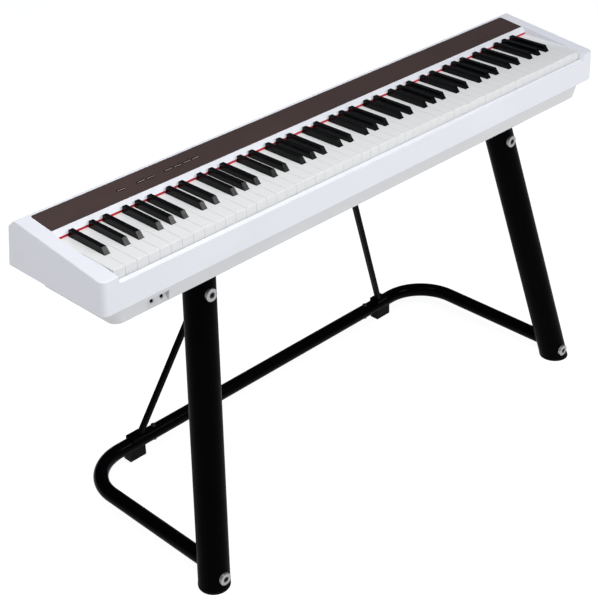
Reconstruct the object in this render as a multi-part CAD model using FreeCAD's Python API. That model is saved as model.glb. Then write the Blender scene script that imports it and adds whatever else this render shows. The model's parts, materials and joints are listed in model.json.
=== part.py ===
"""Full-size 88-key digital piano on a tubular floor stand.

Frame: millimetres, origin on the floor under the middle of the object, +X towards the treble end,
-Y towards the player, +Z up. Every separate piece is written to its own STEP file in parts/.
"""
import FreeCAD, Part
import math
import os
from FreeCAD import Placement, Rotation, Vector

os.makedirs("parts", exist_ok=True)

# ---------------------------------------------------------------- keyboard
white_pitch = 23.5
white_count = 52
key_gap = 0.5
white_front_height = 18.3
key_skirt = 22.0
key_wall = 1.6
key_roof = 2.5
sharp_width = 10.8
sharp_top_width = 9.0
sharp_height = 11.5
sharp_front = 47.7
sharp_front_slope = 8.0
sharp_back = 141.2
sharp_clearance = 1.1
key_tail_end = 222.0
tail_inset = 1.0
pivot_back = 215.0
pivot_down = 12.0
hinge_rod_radius = 2.0
running_clearance = 0.05
letters = "ABCDEFG"
sharp_offsets = {"A": 3.36, "C": -2.35, "D": 2.35, "F": -3.36, "G": 0.0}

# ---------------------------------------------------------------- frame of the keyboard in the part frame
keyboard_width = white_pitch * white_count
left = -keyboard_width / 2
front = -122.0
key_top = 666.0

# ---------------------------------------------------------------- case
end_block = 36.5
end_flare = 4.5
case_front = front - 13.0
fascia_drop = 65.5
top_offset = -3.5
top_slope = 0.125
top_back = 212.0
chamfer_drop = 18.0
back_shoulder = 234.0
back_foot = 242.0
case_front_corner = 12.0
case_rear_corner = 8.0
case_wall = 3.6
side_wall = 3.0
block_wall = 2.6
cheek_gap = 0.4
cheek_step = 5.5
front_gap = 1.0
lip_back = 142.0
lip_wall = 3.0
lip_slope = 7.0
lip_clearance = 4.6
felt_setback = 0.2
felt_clearance = 0.3

# ---------------------------------------------------------------- lower case
tub_drop = 100.0
tub_inset = 5.4
tub_draft = 7.5
tub_shift = -2.4
tub_front_lean = 5.0
tub_back = 198.0
tub_corner = 19.0
tub_wall = 3.0
flange_thickness = 3.0
flange_corner = 10.0

# ---------------------------------------------------------------- control panel and buttons
panel_front = 150.0
panel_back = 206.5
panel_overlap = 3.5
panel_thickness = 1.5
panel_front_corner = 1.5
panel_rear_corner = 5.0
button_row = 177.0
button_centres = [160.0, 203.0, 224.0, 264.0, 285.0, 306.0, 327.0]
button_length = 17.0
button_depth = 5.0
button_rise = 0.9
button_clearance = 0.4

# ---------------------------------------------------------------- stand
leg_radius = 29.4
leg_wall = 2.0
leg_top = Vector(left + 208.9, front + 46.9, key_top - 98.0)
leg_foot = Vector(left + 101.0, front - 67.4, 0.0)
cap_thickness = 4.0
bracket_plate = 4.0
base_tube_radius = 15.0
base_tube_wall = 1.6
base_height = 34.0
base_arm_x = leg_foot.x + (leg_top.x - leg_foot.x) * base_height / leg_top.z
base_rear_y = front + 326.6
base_bend_radius = 97.5
base_seam_x = left + 276.0
base_bolt_x = left + 294.0
rear_foot_x = left + 241.5
rear_foot_length = 38.0
rear_foot_depth = 26.0
strut_side = 10.5
strut_plate = 3.0
strut_top = Vector(left + 499.7, front + 216.5, key_top - fascia_drop)
strut_foot = Vector(left + 254.4, front + 320.4, base_height + base_tube_radius + 3.0)
strut_plate_depth = 18.0
upper_bolt_height = key_top - 136.5
lower_bolt_height = 23.0
washer_radius = 12.0
washer_rise = 2.8
washer_bore = 5.7
bolt_radius = 4.0

top_angle = math.degrees(math.atan(top_slope))


# ---------------------------------------------------------------- helpers
def box(x0, x1, y0, y1, z0, z1):
    return Part.makeBox(x1 - x0, y1 - y0, z1 - z0, Vector(x0, y0, z0))


def cylinder(start, end, radius):
    axis = end - start
    return Part.makeCylinder(radius, axis.Length, start, axis)


def prism_along_x(outline, x0, x1):
    """Extrude a (y, z) outline from x0 to x1."""
    points = [Vector(x0, y, z) for y, z in outline]
    face = Part.Face(Part.makePolygon(points + points[:1]))
    return face.extrude(Vector(x1 - x0, 0, 0))


def prism_along_y(outline, y0, y1):
    """Extrude an (x, z) outline from y0 to y1."""
    points = [Vector(x, y0, z) for x, z in outline]
    face = Part.Face(Part.makePolygon(points + points[:1]))
    return face.extrude(Vector(0, y1 - y0, 0))


def rounded_plate(length, depth, z0, z1, front_radius, rear_radius):
    """Plate centred in X, starting at y = 0, with rounded vertical corners."""
    plate = box(-length / 2, length / 2, 0, depth, z0, z1)
    front_edges = [e for e in vertical_edges(plate) if e.CenterOfMass.y < depth / 2]
    plate = plate.makeFillet(front_radius, front_edges)
    rear_edges = [e for e in vertical_edges(plate) if e.CenterOfMass.y > depth - 0.01]
    return plate.makeFillet(rear_radius, rear_edges)


def slot_prism(length, width, z0, z1):
    """Stadium-shaped prism centred on the Z axis, long side along X."""
    reach = (length - width) / 2
    body = box(-reach, reach, -width / 2, width / 2, z0, z1)
    for side in (-reach, reach):
        body = body.fuse(Part.makeCylinder(width / 2, z1 - z0, Vector(side, 0, z0)))
    return body.removeSplitter()


def vertical_edges(shape, smallest=0.0):
    """Edges that run mostly along Z and are longer than smallest."""
    found = []
    for edge in shape.Edges:
        start, end = edge.Vertexes[0].Point, edge.Vertexes[-1].Point
        run = end - start
        if run.Length > smallest and abs(run.z) > 0.9 * run.Length:
            found.append(edge)
    return found


def mirrored(shape):
    return shape.mirror(Vector(0, 0, 0), Vector(1, 0, 0))


def top_height(back):
    """Height of the sloping case top, a distance back from the front of the keys."""
    return key_top + top_offset + top_slope * back


def on_case_top(shape, x, back):
    """Lay a shape modelled on z = 0 onto the sloping case top."""
    laid = shape.copy()
    place = Vector(x, front + back, top_height(back))
    laid.Placement = Placement(place, Rotation(Vector(1, 0, 0), top_angle))
    return laid


def write(name, shape):
    shape.exportStep("parts/" + name + ".step")
    print(name, len(shape.Solids), "solids", "valid" if shape.isValid() else "INVALID")


# ---------------------------------------------------------------- keys
def sharp_centre(index):
    """X of the black key between white keys index - 1 and index, or None."""
    if index < 1 or index >= white_count:
        return None
    letter = letters[(index - 1) % 7]
    if letter not in sharp_offsets:
        return None
    return left + index * white_pitch + sharp_offsets[letter]


def hinge_bore():
    centre = Vector(left - 10, front + pivot_back, key_top - pivot_down)
    return cylinder(centre, centre + Vector(keyboard_width + 20, 0, 0), hinge_rod_radius + running_clearance)


def white_key(index):
    x0 = left + index * white_pitch + key_gap / 2
    x1 = x0 + white_pitch - key_gap
    low = key_top - key_skirt
    half = sharp_width / 2 + sharp_clearance
    left_sharp, right_sharp = sharp_centre(index), sharp_centre(index + 1)
    tail0 = left_sharp + half if left_sharp is not None else x0
    tail1 = right_sharp - half if right_sharp is not None else x1
    rear0 = tail0 if left_sharp is not None else tail0 + tail_inset
    rear1 = tail1 if right_sharp is not None else tail1 - tail_inset
    shoulder = front + sharp_front - sharp_clearance
    hidden = front + lip_back + 12.0
    tail_roof = key_top - 1.5
    head = box(x0, x1, front, shoulder, low, key_top)
    tail = box(tail0, tail1, shoulder, hidden, low, key_top)
    rear = box(rear0, rear1, hidden, front + key_tail_end, low, tail_roof)
    key = head.fuse([tail, rear]).removeSplitter()
    head_hollow = box(x0 + key_wall, x1 - key_wall, front + key_wall, shoulder - key_wall, low,
                      key_top - key_roof)
    tail_hollow = box(rear0 + key_wall, rear1 - key_wall, shoulder - 2 * key_wall, front + 200.0, low,
                      tail_roof - key_roof)
    key = key.cut([head_hollow, tail_hollow, hinge_bore()])
    front_edges = [e for e in key.Edges if abs(e.CenterOfMass.y - front) < 0.01
                   and e.BoundBox.ZLength < 0.01 and e.CenterOfMass.z > key_top - 0.01]
    return key.makeFillet(1.0, front_edges)


def black_key(index):
    centre = sharp_centre(index)
    low = key_top - key_skirt
    half, top_half = sharp_width / 2, sharp_top_width / 2
    y0, y1 = front + sharp_front, front + sharp_back
    body = box(centre - half, centre + half, y0, y1, low, key_top)
    crown = prism_along_y([(centre - half, key_top), (centre + half, key_top),
                           (centre + top_half, key_top + sharp_height),
                           (centre - top_half, key_top + sharp_height)], y0, y1)
    nose = prism_along_x([(y0 - 1, key_top), (y0, key_top), (y0 + sharp_front_slope, key_top + sharp_height),
                          (y0 + sharp_front_slope, key_top + sharp_height + 1),
                          (y0 - 1, key_top + sharp_height + 1)], centre - half - 1, centre + half + 1)
    crown = crown.cut(nose)
    ridge = [e for e in crown.Edges if e.BoundBox.ZMin > key_top + 0.5]
    crown = crown.makeFillet(0.9, ridge)
    rear = box(centre - half, centre + half, y1, front + key_tail_end, low, key_top - 1.5)
    hollow = box(centre - half + key_wall, centre + half - key_wall, y0 + key_wall, front + 200.0, low,
                 key_top - 1.5 - key_roof)
    return body.fuse([crown, rear]).removeSplitter().cut([hollow, hinge_bore()])


def make_keys():
    whites = {i: white_key(i) for i in range(white_count)}
    blacks = {i: black_key(i) for i in range(white_count) if sharp_centre(i) is not None}
    first_single = 23
    singles = range(first_single, first_single + 7)
    for i in singles:
        write("key_" + letters[i % 7].lower() + "4", whites[i])
    for i in singles:
        if i + 1 in blacks:
            write("key_" + letters[i % 7].lower() + "4_sharp", blacks[i + 1])
    after = first_single + 7
    write("keys_bass_white", Part.makeCompound([whites[i] for i in range(first_single)]))
    write("keys_treble_white", Part.makeCompound([whites[i] for i in range(after, white_count)]))
    write("keys_bass_black", Part.makeCompound([blacks[i] for i in blacks if i < first_single]))
    write("keys_treble_black", Part.makeCompound([blacks[i] for i in blacks if i > after]))


# ---------------------------------------------------------------- case
def case_outline(inset=0.0, wall_inset=0.0):
    """(y, z) outline of the case end, clockwise from the front foot."""
    y0 = case_front + wall_inset
    rise = -inset
    return [(y0, key_top - fascia_drop),
            (y0, top_height(y0 - front) + rise),
            (front + top_back - 0.4 * inset, top_height(top_back) + rise),
            (front + back_shoulder - wall_inset, top_height(top_back) - chamfer_drop - 0.6 * inset),
            (front + back_foot - wall_inset, key_top - fascia_drop)]


def case_end_taper(inset=0.0):
    """(x, z) outline across the case: the ends flare slightly towards the bottom."""
    half = keyboard_width / 2 + end_block - inset
    z0, z1 = key_top - fascia_drop, top_height(top_back) + 5
    return [(-half, z0), (half, z0), (half - end_flare, z1), (-half + end_flare, z1)]


def upper_case():
    reach = keyboard_width / 2 + end_block + 5
    shell = prism_along_x(case_outline(), -reach, reach)
    shell = shell.common(prism_along_y(case_end_taper(), case_front - 5, front + back_foot + 5))
    front_corners = [e for e in vertical_edges(shell, 25.0) if e.CenterOfMass.y < front]
    shell = shell.makeFillet(case_front_corner, front_corners)
    rear_corners = [e for e in vertical_edges(shell, 25.0)
                    if e.CenterOfMass.y > front + 200 and abs(e.CenterOfMass.x) > 600]
    shell = shell.makeFillet(case_rear_corner, rear_corners)
    rim = [e for e in shell.Edges if e.BoundBox.ZMin > key_top - 12.0]
    shell = shell.makeFillet(2.2, rim)
    opening = keyboard_width / 2 + cheek_gap
    ledge = key_top - white_front_height
    low = key_top - fascia_drop
    inner = prism_along_x(case_outline(case_wall, side_wall), -opening, opening)
    under_ledge = box(-opening, opening, case_front - 1, front + 0.5, ledge - side_wall, key_top + 40)
    inner = inner.cut(under_ledge)
    key_well = box(-opening, opening, front - front_gap, front + lip_back, ledge - 12.0, key_top + 40)
    over_ledge = box(-opening, opening, case_front - 1, front - front_gap, ledge, key_top + 40)
    guide = box(-opening, opening, front - front_gap - side_wall, front - front_gap, ledge - 14.0, ledge)
    block_hollow = prism_along_x(case_outline(case_wall, side_wall), opening + cheek_step + block_wall, reach)
    inside_ends = prism_along_y(case_end_taper(side_wall), case_front, front + back_foot)
    block_hollow = block_hollow.common(inside_ends)
    outer_edge = [e for e in vertical_edges(block_hollow, 25.0)
                  if e.CenterOfMass.y < front and e.CenterOfMass.x > 630]
    block_hollow = block_hollow.makeFillet(case_front_corner - side_wall, outer_edge)
    shell = shell.cut([inner, block_hollow, mirrored(block_hollow)]).fuse(guide)
    wall_reach = opening + cheek_step + block_wall + 1
    over_flange = box(-wall_reach, wall_reach, case_front + side_wall,
                      front + back_foot - side_wall - 0.5, low - 1, low + flange_thickness)
    step = opening + cheek_step
    beside_keys = box(-step, step, case_front - 1, front + lip_back, key_top - 0.2, key_top + 40)
    felt_slot = box(-step, step, front + lip_back - 0.1, front + lip_back + lip_wall,
                    key_top + felt_clearance, key_top + lip_clearance)
    shell = shell.cut([key_well, over_ledge, beside_keys, over_flange])
    bosses = []
    for x, y in case_screw_places():
        reach_back = 14.0 if y > front + 210 else 4.0
        reach_side = 4.0 if y > front + 210 else 9.0
        outward = 1 if x > 0 else -1
        x_in, x_out = x - outward * 4.0, x + outward * reach_side
        bosses.append(box(min(x_in, x_out), max(x_in, x_out), y - 4.0, y + reach_back,
                          low + flange_thickness, low + 40.0))
    full = prism_along_x(case_outline(1.0, 1.0), -reach, reach)
    full = full.common(prism_along_y(case_end_taper(1.0), case_front, front + back_foot))
    y0, y1 = lip_back, lip_back + lip_slope
    z0, z1 = key_top + lip_clearance, top_height(y1)
    lip = prism_along_x([(front + y0, z0), (front + y0 + lip_wall, z0), (front + y1 + lip_wall, z1),
                         (front + y1 + lip_wall, z1 + 9), (front + y0, z1 + 9)], -step - 1, step + 1)
    over_lip = prism_along_x([(front + y0, z0), (front + y1, z1), (front + y1, z1 + 9),
                              (front + y0, z1 + 9)], -step, step)
    shell = shell.fuse([b.common(full) for b in bosses + [lip]]).cut([over_lip, felt_slot])
    for x, y in case_screw_places():
        shell = shell.cut(cylinder(Vector(x, y, low), Vector(x, y, low + 18.0), 1.65))
    recess = rounded_plate(keyboard_width + 2 * panel_overlap + 0.4, panel_depth() + 0.4,
                           -panel_thickness, 30, panel_front_corner, panel_rear_corner)
    shell = shell.cut(on_case_top(recess.translated(Vector(0, -0.2, 0)), 0, panel_front))
    for centre in button_centres:
        hole = slot_prism(button_length + 2 * button_clearance, button_depth + 2 * button_clearance, -12, 12)
        shell = shell.cut(on_case_top(hole, left + centre, button_row))
    for x, radius, width, height in rear_socket_holes():
        shell = shell.cut(rear_hole(x, radius + 0.6, width + 1.2, height + 1.2, 20.0))
    return shell.removeSplitter()


def panel_depth():
    return (panel_back - panel_front) / math.cos(math.radians(top_angle))


def control_panel():
    plate = rounded_plate(keyboard_width + 2 * panel_overlap, panel_depth(), -panel_thickness, 0.15,
                          panel_front_corner, panel_rear_corner)
    plate = on_case_top(plate, 0, panel_front)
    for centre in button_centres:
        hole = slot_prism(button_length + 2 * button_clearance, button_depth + 2 * button_clearance, -6, 6)
        plate = plate.cut(on_case_top(hole, left + centre, button_row))
    return plate


def button(centre):
    cap = slot_prism(button_length, button_depth, -7.0, button_rise)
    crown = [e for e in cap.Edges if e.BoundBox.ZMin > button_rise - 0.01]
    cap = cap.makeFillet(0.5, crown)
    flange = slot_prism(button_length + 3.0, button_depth + 3.0, -7.0, -5.8)
    return on_case_top(cap.fuse(flange).removeSplitter(), left + centre, button_row)


def button_board():
    first, last = button_centres[0], button_centres[-1]
    board = box(-20, last - first + 20, -12, 12, -13.0, -11.4)
    for centre in button_centres:
        board = board.fuse(box(centre - first - 3, centre - first + 3, -3, 3, -11.4, -8.6))
    return on_case_top(board, left + first, button_row)


def felt_strip():
    """Felt glued under the front edge of the lip, above the tails of the keys."""
    reach = keyboard_width / 2 + cheek_step
    return box(-reach, reach, front + lip_back + felt_setback, front + lip_back + lip_wall,
               key_top + felt_clearance, key_top + lip_clearance)


def case_screw_places():
    side = keyboard_width / 2 + 24.0
    places = [(x, front + 229.0) for x in (-520.0, -260.0, 0.0, 260.0, 520.0)]
    return places + [(s * side, front + y) for s in (-1, 1) for y in (25.0, 190.0)]


def case_screws():
    screws = []
    low = key_top - fascia_drop
    for x, y in case_screw_places():
        head = Part.makeCylinder(3.2, 1.8, Vector(x, y, low - 1.8))
        head = head.cut([box(x - 2.0, x + 2.0, y - 0.5, y + 0.5, low - 1.8, low - 0.9),
                         box(x - 0.5, x + 0.5, y - 2.0, y + 2.0, low - 1.8, low - 0.9)])
        shank = Part.makeCylinder(1.6, 17.0, Vector(x, y, low))
        screws.append(head.fuse(shank))
    return Part.makeCompound(screws)


# ---------------------------------------------------------------- lower case
tub_bottom = key_top - tub_drop
tub_rim = key_top - fascia_drop
jack_x = [left + 71.0, left + 92.0]
jack_z = tub_bottom + 12.4
jack_face_y = front + 3.9
jack_nose = 5.4
pocket_height = 21.0
pocket_top_back = front + 6.2
pocket_low_back = front + 0.5
jack_radius = 3.2
speaker_centres = [(-270.0, front + 105.0), (270.0, front + 105.0)]
speaker_radius = 42.0


def tub_solid(inset):
    """Drafted tub under the case, shrunk on every side by inset."""
    half = keyboard_width / 2 + tub_inset - inset
    z0, z1 = tub_bottom + inset, tub_rim
    section = prism_along_x([(front + inset, z0), (front - tub_front_lean + inset, z1),
                             (front + tub_back + 6.0 - inset, z1), (front + tub_back - inset, z0)],
                            -half - 20, half + 20)
    wide = half + tub_draft
    across = prism_along_y([(tub_shift - half, z0), (tub_shift + half, z0), (tub_shift + wide, z1),
                            (tub_shift - wide, z1)], front - 40, front + 260)
    solid = section.common(across)
    return solid.makeFillet(tub_corner - inset, vertical_edges(solid, 20.0))


def lower_case():
    outer = tub_solid(0.0)
    outer = outer.makeFillet(3.5, [e for e in outer.Edges if e.BoundBox.ZMax < tub_bottom + 0.01])
    half = keyboard_width / 2 + end_block - side_wall - 0.3
    flange = box(-half, half, case_front + side_wall + 0.3, front + back_foot - side_wall - 1.3, tub_rim,
                 tub_rim + flange_thickness)
    flange = flange.makeFillet(flange_corner, vertical_edges(flange))
    shell = outer.fuse(flange)
    hollow = tub_solid(tub_wall)
    hole_half = keyboard_width / 2 + tub_inset - tub_wall
    through = box(tub_shift - hole_half, tub_shift + hole_half, front, front + tub_back, tub_rim - 1,
                  tub_rim + flange_thickness + 1)
    shell = shell.cut([hollow, through])
    backing = box(left + 48, left + 112, front + 2, jack_face_y + jack_nose, tub_bottom + 2, tub_rim - 2)
    roof = tub_bottom + pocket_height
    pocket = prism_along_x([(front - 20, tub_bottom), (pocket_low_back, tub_bottom), (pocket_top_back, roof),
                            (front - 20, roof)], left + 57, left + 104)
    shell = shell.fuse(backing).cut(pocket)
    for x in jack_x:
        nose_start = Vector(x, jack_face_y - 5, jack_z)
        shell = shell.cut(cylinder(nose_start, nose_start + Vector(0, 15, 0), 4.5))
    for x, y in speaker_centres:
        for row in (-28, -14, 0, 14, 28):
            reach = math.sqrt(36.0 ** 2 - row ** 2)
            slit = box(x - reach, x + reach, y + row - 2, y + row + 2, tub_bottom - 1, tub_bottom + 5)
            shell = shell.cut(slit)
    for x, y in case_screw_places():
        shell = shell.cut(cylinder(Vector(x, y, tub_rim - 1), Vector(x, y, tub_rim + 5), 1.65))
    for place, plate in underside_screw_places():
        shell = shell.cut(cylinder(place, place + Vector(0, 0, 5), 2.05))
    return shell.removeSplitter()


def headphone_jack(x):
    """Socket body behind the pocket wall with a nose that fills the wall's hole."""
    nose = cylinder(Vector(x, jack_face_y, jack_z), Vector(x, jack_face_y + jack_nose, jack_z), 4.45)
    body = box(x - 6, x + 6, jack_face_y + jack_nose, jack_face_y + 31.0, jack_z - 6, jack_z + 6)
    socket = cylinder(Vector(x, jack_face_y - 1, jack_z), Vector(x, jack_face_y + 28, jack_z), jack_radius)
    return nose.fuse(body).cut(socket)


def speaker(x, y):
    """Driver facing down onto the grille slots: frame, cone and magnet."""
    z = tub_bottom + tub_wall
    frame = Part.makeCylinder(speaker_radius + 5, 3, Vector(x, y, z))
    basket = Part.makeCone(speaker_radius, 24, 18, Vector(x, y, z + 3))
    magnet = Part.makeCylinder(20, 10, Vector(x, y, z + 21))
    cone_hollow = Part.makeCone(speaker_radius - 4, 14, 16, Vector(x, y, z))
    return frame.fuse([basket, magnet]).cut(cone_hollow)


def main_board():
    board = box(-110, 110, front + 130, front + 195, tub_bottom + 8, tub_bottom + 9.6)
    for x, y, size in ((-60, 150, 14), (0, 160, 18), (50, 148, 10)):
        chip = box(x - size, x + size, front + y - size / 2, front + y + size / 2,
                   tub_bottom + 9.6, tub_bottom + 12)
        board = board.fuse(chip)
    for x in (-100, 96):
        board = board.fuse(box(x, x + 4, front + 140, front + 144, tub_bottom + tub_wall, tub_bottom + 8))
    return board


# ---------------------------------------------------------------- rear sockets
def rear_socket_holes():
    """(x, radius, width, height): round where the radius is set, else rectangular."""
    return [(60.0, 4.0, 0, 0), (95.0, 3.2, 0, 0), (130.0, 0, 12.0, 11.0)]


socket_z = key_top - 40.0
socket_face_y = front + 235.0


def rear_hole(x, radius, width, height, depth):
    if width > 2:
        return box(x - width / 2, x + width / 2, socket_face_y - depth / 2, socket_face_y + depth,
                   socket_z - height / 2, socket_z + height / 2)
    start = Vector(x, socket_face_y - depth / 2, socket_z)
    return cylinder(start, start + Vector(0, 1.5 * depth, 0), radius)


def rear_sockets():
    body = box(45, 145, socket_face_y - 12.6, socket_face_y - 0.4, socket_z - 9, socket_z + 9)
    holes = []
    for x, radius, width, height in rear_socket_holes():
        if width > 2:
            holes.append(box(x - width / 2, x + width / 2, socket_face_y - 11, socket_face_y + 1,
                             socket_z - height / 2, socket_z + height / 2))
        else:
            start = Vector(x, socket_face_y - 11, socket_z)
            holes.append(cylinder(start, start + Vector(0, 20, 0), radius))
    body = body.cut(holes)
    pin = cylinder(Vector(60, socket_face_y - 11, socket_z), Vector(60, socket_face_y - 3, socket_z), 1.0)
    tongue = box(126, 134, socket_face_y - 11, socket_face_y - 3, socket_z - 1.6, socket_z + 1.6)
    return body.fuse([pin, tongue])


# ---------------------------------------------------------------- key chassis
chassis_top = key_top - 45.5
rib_marks = [0, 2, 9, 16, 23, 30, 37, 44, 51, 52]


def key_chassis():
    """Pressed plate under the keys with upright ribs that carry the hinge rod."""
    reach = keyboard_width / 2 - 0.5
    plate = box(-reach, reach, front + 8, front + key_tail_end, chassis_top - 1.6, chassis_top)
    pieces = []
    for mark in rib_marks:
        x = left + mark * white_pitch
        x0, x1 = max(x - 0.8, left + 0.1), min(x + 0.8, -left - 0.1)
        pieces.append(box(x0, x1, front + 204, front + key_tail_end, chassis_top, key_top - 5.0))
    stop = box(-reach, reach, front + 26, front + 29, chassis_top, chassis_top + 6)
    chassis = plate.fuse(pieces + [stop]).removeSplitter()
    rod = Vector(left - 10, front + pivot_back, key_top - pivot_down)
    return chassis.cut(cylinder(rod, rod + Vector(keyboard_width + 20, 0, 0), hinge_rod_radius + 0.01))


def hinge_rod():
    start = Vector(left + 0.3, front + pivot_back, key_top - pivot_down)
    return cylinder(start, start + Vector(keyboard_width - 0.6, 0, 0), hinge_rod_radius)


def chassis_posts():
    """Four posts that stand the chassis on the floor of the tub."""
    posts = []
    for x in (-560.0, -150.0, 150.0, 560.0):
        for back in (20.0, 190.0):
            posts.append(Part.makeCylinder(5.0, chassis_top - 1.6 - tub_bottom - tub_wall,
                                           Vector(x, front + back, tub_bottom + tub_wall)))
    return Part.makeCompound(posts)


def contact_board():
    """Circuit board with the rubber contact strip under the keys."""
    reach = keyboard_width / 2 - 4
    board = box(-reach, reach, front + 90, front + 122, chassis_top, chassis_top + 1.6)
    strip = box(-reach, reach, front + 98, front + 112, chassis_top + 1.6, chassis_top + 6.0)
    return board.fuse(strip)


# ---------------------------------------------------------------- stand: legs
leg_axis = (leg_top - leg_foot) * (1.0 / (leg_top - leg_foot).Length)


def leg_point(height):
    return leg_foot + leg_axis * (height / leg_axis.z)


def leg_slab(z0, z1):
    return box(-700, 700, -400, 400, z0, z1)


def leg_tube():
    top = leg_point(tub_bottom + 40)
    foot = leg_point(-40)
    tube = cylinder(foot, top, leg_radius).cut(cylinder(foot, top, leg_radius - leg_wall))
    tube = tube.common(leg_slab(cap_thickness, tub_bottom - bracket_plate))
    for height in (upper_bolt_height, lower_bolt_height):
        seat = leg_point(height)
        tube = tube.cut(cylinder(seat + Vector(0, -60, 0), seat, bolt_radius + 0.1))
    arm = cylinder(Vector(base_arm_x, leg_point(base_height).y, base_height),
                   Vector(base_arm_x, 60, base_height), base_tube_radius)
    return tube.cut(arm)


def leg_cap():
    """Rubber foot: a disc under the tube, a plug inside it and a boss for the lower bolt."""
    top, foot = leg_point(60), leg_point(-40)
    seat = leg_point(lower_bolt_height)
    disc = cylinder(foot, top, leg_radius + 0.5).common(leg_slab(0, cap_thickness))
    filling = cylinder(foot, top, leg_radius - leg_wall)
    plug = filling.common(leg_slab(cap_thickness, 16.0))
    bore = cylinder(foot, top, leg_radius - leg_wall - 4.0).common(leg_slab(8.0, 20.0))
    boss = filling.common(box(seat.x - 11, seat.x + 11, seat.y - 60, seat.y - 1.0, cap_thickness, 31.0))
    bolt_hole = cylinder(seat + Vector(0, -60, 0), seat, bolt_radius + 0.05)
    return disc.fuse(plug).cut(bore).fuse(boss).cut(bolt_hole).removeSplitter()


def leg_bracket():
    """Plate under the case with a slanted stub that plugs into the leg."""
    top = leg_top
    plate = box(top.x - 48, top.x + 48, top.y - 40, top.y + 40, tub_bottom - bracket_plate, tub_bottom)
    plate = plate.makeFillet(8.0, vertical_edges(plate))
    stub = cylinder(leg_point(tub_bottom - 62), leg_point(tub_bottom + 10), leg_radius - leg_wall)
    core = cylinder(leg_point(tub_bottom - 80), leg_point(tub_bottom - 14), leg_radius - leg_wall - 6.0)
    stub = stub.cut(core).common(leg_slab(tub_bottom - 58, tub_bottom - bracket_plate))
    seat = leg_point(upper_bolt_height)
    bracket = plate.fuse(stub).cut(cylinder(seat + Vector(0, -60, 0), seat, bolt_radius + 0.05))
    for place in bracket_screw_places():
        bracket = bracket.cut(cylinder(place - Vector(0, 0, 10), place + Vector(0, 0, 1), 2.05))
    return bracket


def both_sides(places):
    return places + [Vector(-p.x, p.y, p.z) for p in places]


def bracket_screw_places():
    """Screw points of the left leg bracket, on the underside of the tub."""
    return [Vector(leg_top.x + dx, leg_top.y + dy, tub_bottom) for dx in (-40, 40) for dy in (-32, 32)]


def strut_screw_places():
    """Screw points of the left strut's plate, on the rear edge of the underside."""
    return [Vector(strut_top.x + dx, strut_top.y + 2, tub_rim) for dx in (-19, 19)]


def underside_screw_places():
    """(point, thickness of the plate it holds) for every screw under the case."""
    brackets = [(p, bracket_plate) for p in both_sides(bracket_screw_places())]
    return brackets + [(p, strut_plate) for p in both_sides(strut_screw_places())]


def underside_screws():
    """Identical screws of the leg brackets and the strut plates."""
    screws = []
    for place, plate in underside_screw_places():
        under = place - Vector(0, 0, plate)
        head = Part.makeCylinder(4.0, 2.4, under - Vector(0, 0, 2.4))
        head = head.cut(Part.makeCylinder(1.6, 1.4, under - Vector(0, 0, 2.4)))
        screws.append(head.fuse(Part.makeCylinder(2.0, 11.0, under)))
    return Part.makeCompound(screws)


def leg_washers():
    rings = []
    for height in (upper_bolt_height, lower_bolt_height):
        seat = leg_point(height)
        crest = seat + Vector(0, -leg_front_reach() - washer_rise, 0)
        ring = cylinder(seat, crest, washer_radius).cut(cylinder(seat, crest + Vector(0, -1, 0), washer_bore))
        edge = [e for e in ring.Edges if abs(e.CenterOfMass.y - crest.y) < 0.01 and e.Length > 60]
        ring = ring.makeFillet(0.8, edge)
        ring = ring.cut(cylinder(leg_point(-60), leg_point(tub_bottom + 60), leg_radius))
        rings.append(largest_solid(ring))
    return Part.makeCompound(rings + [mirrored(r) for r in rings])


def largest_solid(shape):
    return max(shape.Solids, key=lambda solid: solid.Volume)


def leg_front_reach():
    """How far the leg's front stands ahead of its axis, measured level."""
    level = Vector(leg_axis.x, leg_axis.y, 0)
    lean = math.asin(min(1.0, level.Length))
    along = abs(leg_axis.y) / level.Length
    major = leg_radius / math.cos(lean)
    return 1.0 / math.sqrt((along / major) ** 2 + (1 - along ** 2) / leg_radius ** 2)


def hex_socket(centre, across, depth):
    points = [Vector(centre.x + across / math.sqrt(3) * math.cos(math.radians(60 * k)), centre.y,
                     centre.z + across / math.sqrt(3) * math.sin(math.radians(60 * k))) for k in range(6)]
    return Part.Face(Part.makePolygon(points + points[:1])).extrude(Vector(0, depth, 0))


def leg_bolts():
    """Socket screws: the upper ones end in the bracket stub, the lower ones in the foot's boss."""
    bolts = []
    for height in (upper_bolt_height, lower_bolt_height):
        seat = leg_point(height)
        face = seat + Vector(0, -leg_front_reach() - washer_rise + 1.0, 0)
        head = cylinder(face, face + Vector(0, 5.0, 0), washer_bore - 0.05)
        head = largest_solid(head.cut(cylinder(leg_point(-60), leg_point(tub_bottom + 60), leg_radius)))
        shank = cylinder(face, seat + Vector(0, -4.0, 0), bolt_radius)
        bolts.append(head.fuse(shank).cut(hex_socket(face + Vector(0, -0.5, 0), 6.0, 3.0)))
    return Part.makeCompound(bolts + [mirrored(b) for b in bolts])


# ---------------------------------------------------------------- stand: base
def pipe(path, radius):
    start = path.Edges[0].valueAt(path.Edges[0].FirstParameter)
    direction = path.Edges[0].tangentAt(path.Edges[0].FirstParameter)
    circle = Part.Wire(Part.makeCircle(radius, start, direction))
    return path.makePipeShell([circle], True, True)


def base_arm_start():
    return leg_point(base_height).y + 2.0


def base_path():
    """Arm, quarter bend and short rear run of the left base tube."""
    a = Vector(base_arm_x, base_arm_start(), base_height)
    b = Vector(base_arm_x, base_rear_y - base_bend_radius, base_height)
    d = Vector(base_arm_x + base_bend_radius, base_rear_y, base_height)
    root = base_bend_radius * (1 - math.sqrt(0.5))
    c = Vector(base_arm_x + root, base_rear_y - root, base_height)
    e = Vector(base_seam_x, base_rear_y, base_height)
    pieces = [Part.LineSegment(a, b), Part.Arc(b, c, d), Part.LineSegment(d, e)]
    return Part.Wire([piece.toShape() for piece in pieces])


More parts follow.
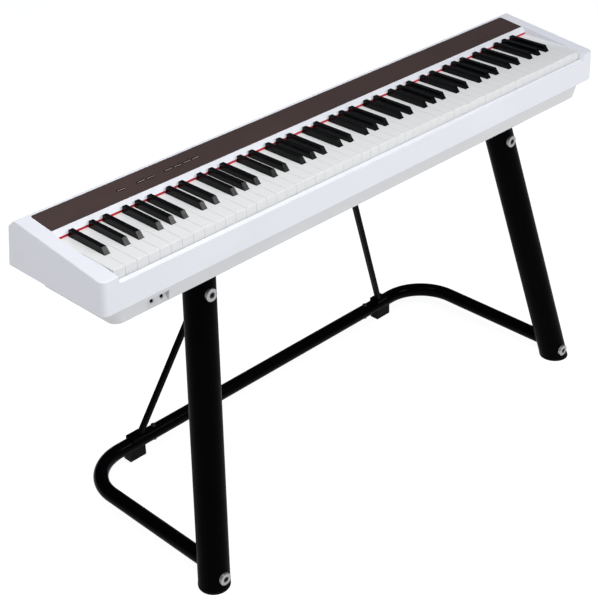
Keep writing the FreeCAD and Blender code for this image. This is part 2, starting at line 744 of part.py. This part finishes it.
def base_bend():
    path = base_path()
    tube = pipe(path, base_tube_radius).cut(pipe(path, base_tube_radius - base_tube_wall))
    y0 = base_arm_start()
    plug = cylinder(Vector(base_arm_x, y0, base_height), Vector(base_arm_x, y0 + 8, base_height),
                    base_tube_radius - base_tube_wall)
    return tube.fuse(plug)


def base_rear_tube():
    start = Vector(base_seam_x, base_rear_y, base_height)
    end = Vector(-base_seam_x, base_rear_y, base_height)
    tube = cylinder(start, end, base_tube_radius).cut(cylinder(start, end, base_tube_radius - base_tube_wall))
    for x in (base_bolt_x, -base_bolt_x):
        tube = tube.cut(cylinder(Vector(x, base_rear_y, 0), Vector(x, base_rear_y, 80), 3.05))
    return tube


def base_spigot():
    """Inner sleeve that joins the bend to the rear tube."""
    start = Vector(base_seam_x - 34, base_rear_y, base_height)
    end = Vector(base_seam_x + 34, base_rear_y, base_height)
    radius = base_tube_radius - base_tube_wall
    sleeve = cylinder(start, end, radius).cut(cylinder(start, end, radius - 2.0))
    bolt_start = Vector(base_bolt_x, base_rear_y, 0)
    return sleeve.cut(cylinder(bolt_start, bolt_start + Vector(0, 0, 80), 3.05))


def base_bolts():
    bolts = []
    for x in (base_bolt_x, -base_bolt_x):
        top = base_height + base_tube_radius
        low = base_height - base_tube_radius
        shank = Part.makeCylinder(3.0, top - low + 3.0, Vector(x, base_rear_y, low - 3.0))
        head = Part.makeCylinder(5.0, 3.2, Vector(x, base_rear_y, top))
        nut = Part.makeCylinder(5.0, 3.0, Vector(x, base_rear_y, low - 3.0))
        saddle = cylinder(Vector(x - 9, base_rear_y, base_height), Vector(x + 9, base_rear_y, base_height),
                          base_tube_radius)
        bolts.append(shank.fuse([head.cut(saddle), nut.cut(saddle)]))
    return Part.makeCompound(bolts)


def rear_foot():
    """Block under the rear tube that stands on the floor."""
    x0, x1 = rear_foot_x - rear_foot_length / 2, rear_foot_x + rear_foot_length / 2
    y0, y1 = base_rear_y - rear_foot_depth / 2, base_rear_y + rear_foot_depth / 2
    block = box(x0, x1, y0, y1, 0, base_height - 3.0)
    long_edges = [e for e in block.Edges if e.BoundBox.ZMax < 0.01 and e.BoundBox.YLength < 0.01]
    block = block.makeChamfer(3.0, long_edges)
    saddle = cylinder(Vector(x0 - 5, base_rear_y, base_height), Vector(x1 + 5, base_rear_y, base_height),
                      base_tube_radius)
    return block.cut(saddle)


def strut_bracket():
    """Bent plate over the rear tube that takes the strut's foot."""
    x0, x1 = rear_foot_x - 10, rear_foot_x + rear_foot_length / 2 + 3.0
    top = base_height + base_tube_radius
    plate = box(x0, x1, base_rear_y - 14, base_rear_y + 11, top - 5.0, top + 3.0)
    saddle = cylinder(Vector(x0 - 5, base_rear_y, base_height), Vector(x1 + 5, base_rear_y, base_height),
                      base_tube_radius)
    return plate.cut(saddle)


def strut():
    """Square bar from the rear bracket up to a foot plate under the rear edge of the case."""
    run = strut_top - strut_foot
    half = strut_side / 2
    bar = box(-half, half, -half, half, -30, run.Length + 30)
    bar = bar.makeFillet(1.2, [e for e in bar.Edges if e.BoundBox.ZLength > 100])
    bar.Placement = Placement(strut_foot, Rotation(Vector(0, 0, 1), run))
    bar = bar.common(box(-700, 700, -400, 400, strut_foot.z, tub_rim - strut_plate))
    y_mid = strut_top.y + 2
    plate = box(strut_top.x - 26, strut_top.x + 26, y_mid - strut_plate_depth / 2,
                y_mid + strut_plate_depth / 2, tub_rim - strut_plate, tub_rim)
    plate = plate.makeFillet(5.0, vertical_edges(plate))
    for place in strut_screw_places():
        plate = plate.cut(cylinder(place - Vector(0, 0, 10), place + Vector(0, 0, 1), 2.05))
    return bar.fuse(plate)


# ---------------------------------------------------------------- write everything
def write_pair(name, shape):
    write(name + "_left", shape)
    write(name + "_right", mirrored(shape))


make_keys()
write("upper_case", upper_case())
write("lower_case", lower_case())
write("control_panel", control_panel())
write("felt_strip", felt_strip())
write("case_screws", case_screws())
write("button_board", button_board())
for number, centre in enumerate(button_centres, 1):
    write("button_" + str(number), button(centre))
write("key_chassis", key_chassis())
write("chassis_posts", chassis_posts())
write("hinge_rod", hinge_rod())
write("contact_board", contact_board())
write("main_board", main_board())
write("rear_sockets", rear_sockets())
for number, x in enumerate(jack_x, 1):
    write("headphone_jack_" + str(number), headphone_jack(x))
write("speaker_left", speaker(*speaker_centres[0]))
write("speaker_right", speaker(*speaker_centres[1]))
write_pair("leg_tube", leg_tube())
write_pair("leg_cap", leg_cap())
write_pair("leg_bracket", leg_bracket())
write("underside_screws", underside_screws())
write("leg_washers", leg_washers())
write("leg_bolts", leg_bolts())
write_pair("base_bend", base_bend())
write("base_rear_tube", base_rear_tube())
write_pair("base_spigot", base_spigot())
write("base_bolts", base_bolts())
write_pair("rear_foot", rear_foot())
write_pair("strut_bracket", strut_bracket())
write_pair("strut", strut())
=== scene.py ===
"""Looks of the digital piano on its floor stand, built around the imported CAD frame.

Metres, origin on the floor under the middle of the object, +X towards the treble end, -Y towards the player.
"""
import json
import math

import bmesh
import bpy
from mathutils import Euler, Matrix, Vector


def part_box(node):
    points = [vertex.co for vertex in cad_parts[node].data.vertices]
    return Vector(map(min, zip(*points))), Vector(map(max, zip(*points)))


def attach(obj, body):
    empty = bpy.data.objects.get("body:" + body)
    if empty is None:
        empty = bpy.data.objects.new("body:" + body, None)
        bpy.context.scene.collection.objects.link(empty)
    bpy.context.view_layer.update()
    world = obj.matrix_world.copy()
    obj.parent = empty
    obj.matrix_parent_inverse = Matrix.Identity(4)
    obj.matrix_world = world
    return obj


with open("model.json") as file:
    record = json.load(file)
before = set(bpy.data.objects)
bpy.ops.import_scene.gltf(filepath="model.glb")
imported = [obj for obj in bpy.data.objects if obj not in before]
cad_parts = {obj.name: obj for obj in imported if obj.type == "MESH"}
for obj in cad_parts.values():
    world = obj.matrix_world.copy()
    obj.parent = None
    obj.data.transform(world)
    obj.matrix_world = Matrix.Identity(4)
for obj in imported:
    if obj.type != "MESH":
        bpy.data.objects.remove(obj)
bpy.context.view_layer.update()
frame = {"nodes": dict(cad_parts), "record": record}
nodes = frame["nodes"]
scene = bpy.context.scene


# ---------------------------------------------------------------- camera, light and floor
CAMERA_PLACE = (-1.72884, -1.67360, 1.75280)
CAMERA_TURN = (math.radians(58.72), math.radians(1.312), math.radians(-45.14))
SENSOR_WIDTH = 36.0          # mm
LENS = 84.906                # mm
CLIP_NEAR = 0.05
CLIP_FAR = 60.0

WORLD_COLOUR = (0.78, 0.88, 1.04, 1)
WORLD_BRIGHT = 0.20
WORLD_DARK = 0.06            # strength behind the piano, so that its black parts stay dark
DARK_SIDE = (0.35, 0.93, 0.0)
DARK_START = 0.70            # the sky fades between these two values of direction times DARK_SIDE
DARK_END = 0.86

FLOOR_SIZE = 60
FLOOR_COLOUR = (0.22, 0.22, 0.22, 1)
FLOOR_ROUGHNESS = 0.9
FLOOR_GLOW = 0.93


def add_camera():
    data = bpy.data.cameras.new("camera")
    data.sensor_width = SENSOR_WIDTH
    data.lens = LENS
    data.clip_start = CLIP_NEAR
    data.clip_end = CLIP_FAR
    camera = bpy.data.objects.new("camera", data)
    camera.location = CAMERA_PLACE
    camera.rotation_euler = Euler(CAMERA_TURN)
    scene.collection.objects.link(camera)
    scene.camera = camera


def add_area(name, place, target, size, power):
    data = bpy.data.lights.new(name, "AREA")
    data.shape = "RECTANGLE"
    data.size, data.size_y = size
    data.energy = power
    light = bpy.data.objects.new(name, data)
    light.location = place
    light.rotation_euler = (Vector(target) - Vector(place)).to_track_quat("-Z", "Y").to_euler()
    scene.collection.objects.link(light)


def add_world():
    """Soft sky that is darker towards DARK_SIDE."""
    world = bpy.data.worlds.new("studio")
    scene.world = world
    world.use_nodes = True
    tree = world.node_tree
    background = tree.nodes["Background"]
    background.inputs["Color"].default_value = WORLD_COLOUR
    direction = tree.nodes.new("ShaderNodeTexCoord")
    towards = tree.nodes.new("ShaderNodeVectorMath")
    towards.operation = "DOT_PRODUCT"
    towards.inputs[1].default_value = DARK_SIDE
    fade = tree.nodes.new("ShaderNodeMapRange")
    fade.inputs["From Min"].default_value = DARK_START
    fade.inputs["From Max"].default_value = DARK_END
    fade.inputs["To Min"].default_value = WORLD_BRIGHT
    fade.inputs["To Max"].default_value = WORLD_DARK
    tree.links.new(direction.outputs["Generated"], towards.inputs[0])
    tree.links.new(towards.outputs["Value"], fade.inputs["Value"])
    tree.links.new(fade.outputs["Result"], background.inputs["Strength"])


def add_floor():
    bpy.ops.mesh.primitive_plane_add(size=FLOOR_SIZE)
    floor = bpy.context.object
    floor.name = "studio_floor"
    material = bpy.data.materials.new("studio_floor")
    material.use_nodes = True
    shader = material.node_tree.nodes["Principled BSDF"]
    shader.inputs["Base Color"].default_value = FLOOR_COLOUR
    shader.inputs["Roughness"].default_value = FLOOR_ROUGHNESS
    shader.inputs["Specular IOR Level"].default_value = 0.0
    shader.inputs["Emission Color"].default_value = (1, 1, 1, 1)
    shader.inputs["Emission Strength"].default_value = FLOOR_GLOW
    floor.data.materials.append(material)


add_camera()
add_world()
add_floor()
add_area("front_light", place=(0.85, -2.15, 2.12), target=(0, 0, 0.6), size=(1.3, 0.45), power=27.0)
add_area("top_light", place=(-0.80, -0.45, 2.7), target=(-0.2, 0, 0.6), size=(1.6, 1.6), power=44.0)
scene.view_settings.view_transform = "Standard"
scene.view_settings.look = "None"


# ---------------------------------------------------------------- materials
# Noise scales are cycles per metre of object space.
BLOTCH_SCALE = 7             # slow change of colour over a moulding
SMUDGE_SCALE = 60            # change of gloss over a moulding
METAL_SMUDGE_SCALE = 90
FIBRE_SCALE = 1800
FIBRE_DEPTH = 0.0006
BRUSH_DEPTH = 0.00004
BRUSHED_ALONG_X = (0.05, 1, 1)


def linear(red, green, blue):
    """0-255 display colour to linear."""
    def channel(level):
        level = level / 255
        return level / 12.92 if level <= 0.04045 else ((level + 0.055) / 1.055) ** 2.4
    return (channel(red), channel(green), channel(blue), 1)


def tint(colour, factor):
    return tuple(min(1.0, c * factor) for c in colour[:3]) + (1,)


class Look:
    """A node material with a Principled shader and object-space coordinates."""

    def __init__(self, name):
        self.material = bpy.data.materials.new(name)
        self.material.use_nodes = True
        self.tree = self.material.node_tree
        self.shader = self.tree.nodes["Principled BSDF"]
        self.coords = self.tree.nodes.new("ShaderNodeTexCoord").outputs["Object"]

    def link(self, output, socket):
        self.tree.links.new(output, socket)

    def set(self, **values):
        for key, value in values.items():
            self.shader.inputs[key.replace("_", " ")].default_value = value

    def noise(self, scale, detail, stretch=None, rough=0.5):
        node = self.tree.nodes.new("ShaderNodeTexNoise")
        node.inputs["Scale"].default_value = scale
        node.inputs["Detail"].default_value = detail
        node.inputs["Roughness"].default_value = rough
        source = self.coords
        if stretch:
            mapping = self.tree.nodes.new("ShaderNodeMapping")
            mapping.inputs["Scale"].default_value = stretch
            self.link(source, mapping.inputs["Vector"])
            source = mapping.outputs["Vector"]
        self.link(source, node.inputs["Vector"])
        return node.outputs["Fac"]

    def ramp(self, fac, low, high, value_low, value_high):
        node = self.tree.nodes.new("ShaderNodeMapRange")
        node.inputs["From Min"].default_value = low
        node.inputs["From Max"].default_value = high
        node.inputs["To Min"].default_value = value_low
        node.inputs["To Max"].default_value = value_high
        self.link(fac, node.inputs["Value"])
        return node.outputs["Result"]

    def colour(self, fac, dark, light):
        """Base colour between dark and light, by fac."""
        node = self.tree.nodes.new("ShaderNodeMix")
        node.data_type = "RGBA"
        factor = [s for s in node.inputs if s.name == "Factor" and s.type == "VALUE"][0]
        ends = [s for s in node.inputs if s.type == "RGBA"]
        result = [s for s in node.outputs if s.type == "RGBA"][0]
        ends[0].default_value = dark
        ends[1].default_value = light
        self.link(fac, factor)
        self.link(result, self.shader.inputs["Base Color"])

    def roughness(self, fac, low, high):
        self.link(self.ramp(fac, 0.3, 0.7, low, high), self.shader.inputs["Roughness"])

    def bump(self, height, distance):
        node = self.tree.nodes.new("ShaderNodeBump")
        node.inputs["Distance"].default_value = distance
        node.inputs["Strength"].default_value = 1.0
        self.link(height, node.inputs["Height"])
        self.link(node.outputs["Normal"], self.shader.inputs["Normal"])


def plastic(name, colour, rough, spread=0.06, shade=0.04, grain=1400, grain_depth=0.00006, specular=0.5):
    """Moulded or painted surface: slow blotches, uneven gloss and a fine grain."""
    look = Look(name)
    blotches = look.ramp(look.noise(BLOTCH_SCALE, 4), 0.35, 0.65, 0, 1)
    look.colour(blotches, tint(colour, 1 - shade), tint(colour, 1 + shade))
    look.roughness(look.noise(SMUDGE_SCALE, 5), rough - spread, rough + spread)
    look.bump(look.noise(grain, 2), grain_depth)
    look.set(Specular_IOR_Level=specular)
    return look


def metal(name, colour, rough, stretch=(1, 1, 1), grain=600):
    """Bare metal with a brushed or even grain."""
    look = Look(name)
    brushed = look.noise(grain, 3, stretch=stretch)
    look.colour(look.ramp(brushed, 0.3, 0.7, 0, 1), tint(colour, 0.92), tint(colour, 1.06))
    look.roughness(look.noise(METAL_SMUDGE_SCALE, 4), rough - 0.08, rough + 0.08)
    look.bump(brushed, BRUSH_DEPTH)
    look.set(Metallic=1.0)
    return look


def felt(name, colour):
    look = Look(name)
    fibre = look.noise(FIBRE_SCALE, 6, rough=0.7)
    look.colour(look.ramp(fibre, 0.3, 0.7, 0, 1), tint(colour, 0.75), tint(colour, 1.2))
    look.bump(fibre, FIBRE_DEPTH)
    look.set(Roughness=0.95, Sheen_Weight=0.3, Specular_IOR_Level=0.1)
    return look


looks = {
    # case
    "case_white": plastic("case_white", (0.755, 0.76, 0.80, 1), 0.42, shade=0.012),
    "case_grey": plastic("case_grey", (0.65, 0.65, 0.655, 1), 0.55, shade=0.02, grain=900,
                         grain_depth=0.0001),
    "panel_brown": plastic("panel_brown", linear(59, 42, 39), 0.62, shade=0.08, grain=1100,
                           grain_depth=0.00008),
    "button_black": plastic("button_black", linear(5, 4, 4), 0.3, specular=0.15),
    # pale brown of the painted highlight strips on the buttons' front edges
    "painted_button_highlight": plastic("painted_button_highlight", linear(172, 152, 144), 0.45, shade=0.05),
    "socket_plastic": plastic("socket_plastic", linear(10, 10, 10), 0.5, specular=0.2),
    "jack_grey": plastic("jack_grey", (0.42, 0.42, 0.43, 1), 0.5, specular=0.3),
    "felt_red": felt("felt_red", linear(214, 5, 40)),
    # keys
    "white_key": plastic("white_key", (0.76, 0.757, 0.745, 1), 0.30, spread=0.02, shade=0.004, grain=2000,
                         grain_depth=0.00001),
    "black_key": plastic("black_key", linear(6, 6, 7), 0.22, spread=0.04, shade=0.2, grain=2600,
                         grain_depth=0.00001, specular=0.15),
    # stand
    "stand_black": plastic("stand_black", linear(2, 2, 2), 0.42, shade=0.2, grain=700, grain_depth=0.00010,
                           specular=0.018),
    "tube_black": plastic("tube_black", linear(3, 3, 4), 0.2, spread=0.04, shade=0.2, grain=500,
                          grain_depth=0.00004, specular=0.02),
    "foot_rubber": plastic("foot_rubber", linear(8, 8, 8), 0.7, shade=0.2, grain=500, grain_depth=0.0002,
                           specular=0.08),
    "bolt_black": plastic("bolt_black", linear(22, 22, 23), 0.45, specular=0.4),
    "washer_silver": metal("washer_silver", (0.40, 0.40, 0.41, 1), 0.5),
    "spigot_steel": metal("spigot_steel", (0.45, 0.45, 0.46, 1), 0.4, stretch=BRUSHED_ALONG_X),
    # inside the case
    "speaker_paper": plastic("speaker_paper", linear(30, 29, 28), 0.9, grain=300, grain_depth=0.0003,
                             specular=0.1),
    "circuit_board": plastic("circuit_board", linear(28, 82, 48), 0.4, shade=0.15),
    "screw_steel": metal("screw_steel", (0.55, 0.55, 0.55, 1), 0.35),
    "rod_steel": metal("rod_steel", (0.6, 0.6, 0.6, 1), 0.25, stretch=BRUSHED_ALONG_X),
    "chassis_steel": metal("chassis_steel", (0.5, 0.51, 0.52, 1), 0.5, grain=60),
}

GLOSSY_TUBES = ("base_bend", "base_rear")        # start of the names of the base's bent and straight tubes


def dress_nodes():
    """One look for each CAD node: its record slot's, and a glossier black on the base tubes."""
    slot_of = {part["node"]: part["material_slot"] for part in frame["record"]["subparts"]}
    for name, node in nodes.items():
        look = "tube_black" if name.startswith(GLOSSY_TUBES) else slot_of[name]
        node.data.materials.clear()
        node.data.materials.append(looks[look].material)


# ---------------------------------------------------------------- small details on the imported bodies
TOP_SLOPE = 0.125            # rise of the case top per unit of depth
BUTTONS = range(1, 8)
FLANGE_OVERHANG = 0.0015     # the hidden flange of a button reaches this far beyond its cap

EDGE_LEFT = 0.0028           # the painted highlight strip on a button's front edge, from the left end of its flange
EDGE_RIGHT = 0.0020          # from the right end of its flange
EDGE_FRONT = 0.0002          # from the cap's front, along the slope
EDGE_BACK = 0.0014
EDGE_HEIGHT = 0.00025

SIGNS = {3: "plus", 5: "dot", 6: "triangle", 7: "square"}       # button number: sign beside it
SIGN_LEFT = 0.0005           # sign's centre, from the left end of the button's flange
SIGN_BACK = 0.0012           # from the back of the button's flange
SIGN_REACH = 0.0016
PLUS_HALF_STROKE = 0.0004
DOT_RADIUS = 0.0013
SQUARE_HALF_SIDE = 0.0013
INK_HEIGHT = 0.00006

# a dark sleeve lines each headphone socket's bore as painted shade
SLEEVE_OUTER = 0.00318       # a little under the radius of a headphone socket
SLEEVE_INNER = 0.0029
SLEEVE_FRONT = 0.0006        # from the socket's face
SLEEVE_BACK = 0.0008         # from the back of the socket's body
SLEEVE_SIDES = 32


def finish_piece(name, mesh, look, body):
    piece = bpy.data.objects.new(name, mesh)
    scene.collection.objects.link(piece)
    mesh.materials.append(looks[look].material)
    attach(piece, body)


def mesh_from(name, bm):
    bmesh.ops.recalc_face_normals(bm, faces=bm.faces)
    mesh = bpy.data.meshes.new(name)
    bm.to_mesh(mesh)
    bm.free()
    return mesh


def prism_mesh(name, outlines, height, place):
    """Closed flat solids from outlines of (x, y) points; place maps (x, y, lift) into the frame."""
    bm = bmesh.new()
    for outline in outlines:
        low = [bm.verts.new(place(x, y, 0.0)) for x, y in outline]
        high = [bm.verts.new(place(x, y, height)) for x, y in outline]
        bm.faces.new(list(reversed(low)))
        bm.faces.new(high)
        for i in range(len(outline)):
            j = (i + 1) % len(outline)
            bm.faces.new((low[i], low[j], high[j], high[i]))
    return mesh_from(name, bm)


def rounded_bar(x0, x1, y0, y1, steps=4):
    """Outline of a bar with half-round ends."""
    radius = (y1 - y0) / 2
    middle = (y0 + y1) / 2
    points = []
    for x, start in ((x1 - radius, -math.pi / 2), (x0 + radius, math.pi / 2)):
        for i in range(steps + 1):
            angle = start + math.pi * i / steps
            points.append((x + radius * math.cos(angle), middle + radius * math.sin(angle)))
    return points


def circle(x, y, radius, steps=16):
    angles = [2 * math.pi * i / steps for i in range(steps)]
    return [(x + radius * math.cos(a), y + radius * math.sin(a)) for a in angles]


def plus(x, y, reach, half):
    """Outline of a plus sign, counter-clockwise from the left arm's lower end."""
    quarter = [(-reach, -half), (-half, -half), (-half, -reach)]
    points = []
    for _ in range(4):
        points += [(x + dx, y + dy) for dx, dy in quarter]
        quarter = [(-dy, dx) for dx, dy in quarter]
    return points


def sign_outline(sign, x, y):
    if sign == "plus":
        return plus(x, y, SIGN_REACH, PLUS_HALF_STROKE)
    if sign == "dot":
        return circle(x, y, DOT_RADIUS)
    if sign == "triangle":
        return [(x - SIGN_REACH, y - SIGN_REACH), (x + SIGN_REACH, y), (x - SIGN_REACH, y + SIGN_REACH)]
    half = SQUARE_HALF_SIDE
    return [(x - half, y - half), (x + half, y - half), (x + half, y + half), (x - half, y + half)]


def on_slope(origin_y, origin_z):
    """Maps (x, y, lift) onto a plane that rises towards the back with the case top."""
    upward = Vector((0, -TOP_SLOPE, 1)).normalized()
    along = Vector((0, 1, TOP_SLOPE)).normalized()
    origin = Vector((0, origin_y, origin_z))
    return lambda x, y, lift: origin + Vector((x, 0, 0)) + along * y + upward * lift


def add_painted_button_highlights():
    """A pale strip on each push button's front edge: a painted highlight where the edge catches the light.
    """
    for number in BUTTONS:
        node = "button_%d" % number
        low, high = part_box(node)
        cap_front = low[1] + FLANGE_OVERHANG
        cap_back = high[1] - FLANGE_OVERHANG
        place = on_slope(cap_front, high[2] - (cap_back - cap_front) * TOP_SLOPE)
        outline = rounded_bar(low[0] + EDGE_LEFT, high[0] - EDGE_RIGHT, EDGE_FRONT, EDGE_BACK)
        mesh = prism_mesh(node + "_edge", [outline], EDGE_HEIGHT, place)
        # the strip is a painted highlight laid on the cap's top along its front edge
        finish_piece(node + "_edge", mesh, "painted_button_highlight", node)


def add_panel_marks():
    """Plain printed signs beside four of the buttons."""
    low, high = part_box("control_panel")
    place = on_slope(low[1], high[2] - (high[1] - low[1]) * TOP_SLOPE)
    outlines = []
    for number, sign in SIGNS.items():
        button_low, button_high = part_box("button_%d" % number)
        outlines.append(sign_outline(sign, button_low[0] - SIGN_LEFT, (button_high[1] - low[1]) + SIGN_BACK))
    mesh = prism_mesh("panel_marks", outlines, INK_HEIGHT, place)
    finish_piece("panel_marks", mesh, "button_black", "piano_body")


def add_painted_jack_shade():
    """Dark sleeve inside each headphone socket: painted shade that darkens its deep bore."""
    for number in (1, 2):
        low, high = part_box("headphone_jack_%d" % number)
        x = (low[0] + high[0]) / 2
        z = (low[2] + high[2]) / 2
        front, back = low[1] + SLEEVE_FRONT, high[1] - SLEEVE_BACK
        profile = [(front, SLEEVE_OUTER), (front, SLEEVE_INNER), (back, SLEEVE_INNER), (back, SLEEVE_OUTER)]
        bm = bmesh.new()
        rings = []
        for y, radius in profile:
            rings.append([bm.verts.new((px, y, pz)) for px, pz in circle(x, z, radius, SLEEVE_SIDES)])
        for ring, following in zip(rings, rings[1:] + rings[:1]):
            for i in range(SLEEVE_SIDES):
                j = (i + 1) % SLEEVE_SIDES
                bm.faces.new((ring[i], ring[j], following[j], following[i]))
        name = "jack_sleeve_%d" % number
        # near-black sleeve: painted shade in the socket's bore
        finish_piece(name, mesh_from(name, bm), "socket_plastic", "piano_body")


dress_nodes()
add_painted_button_highlights()
add_panel_marks()
add_painted_jack_shade()
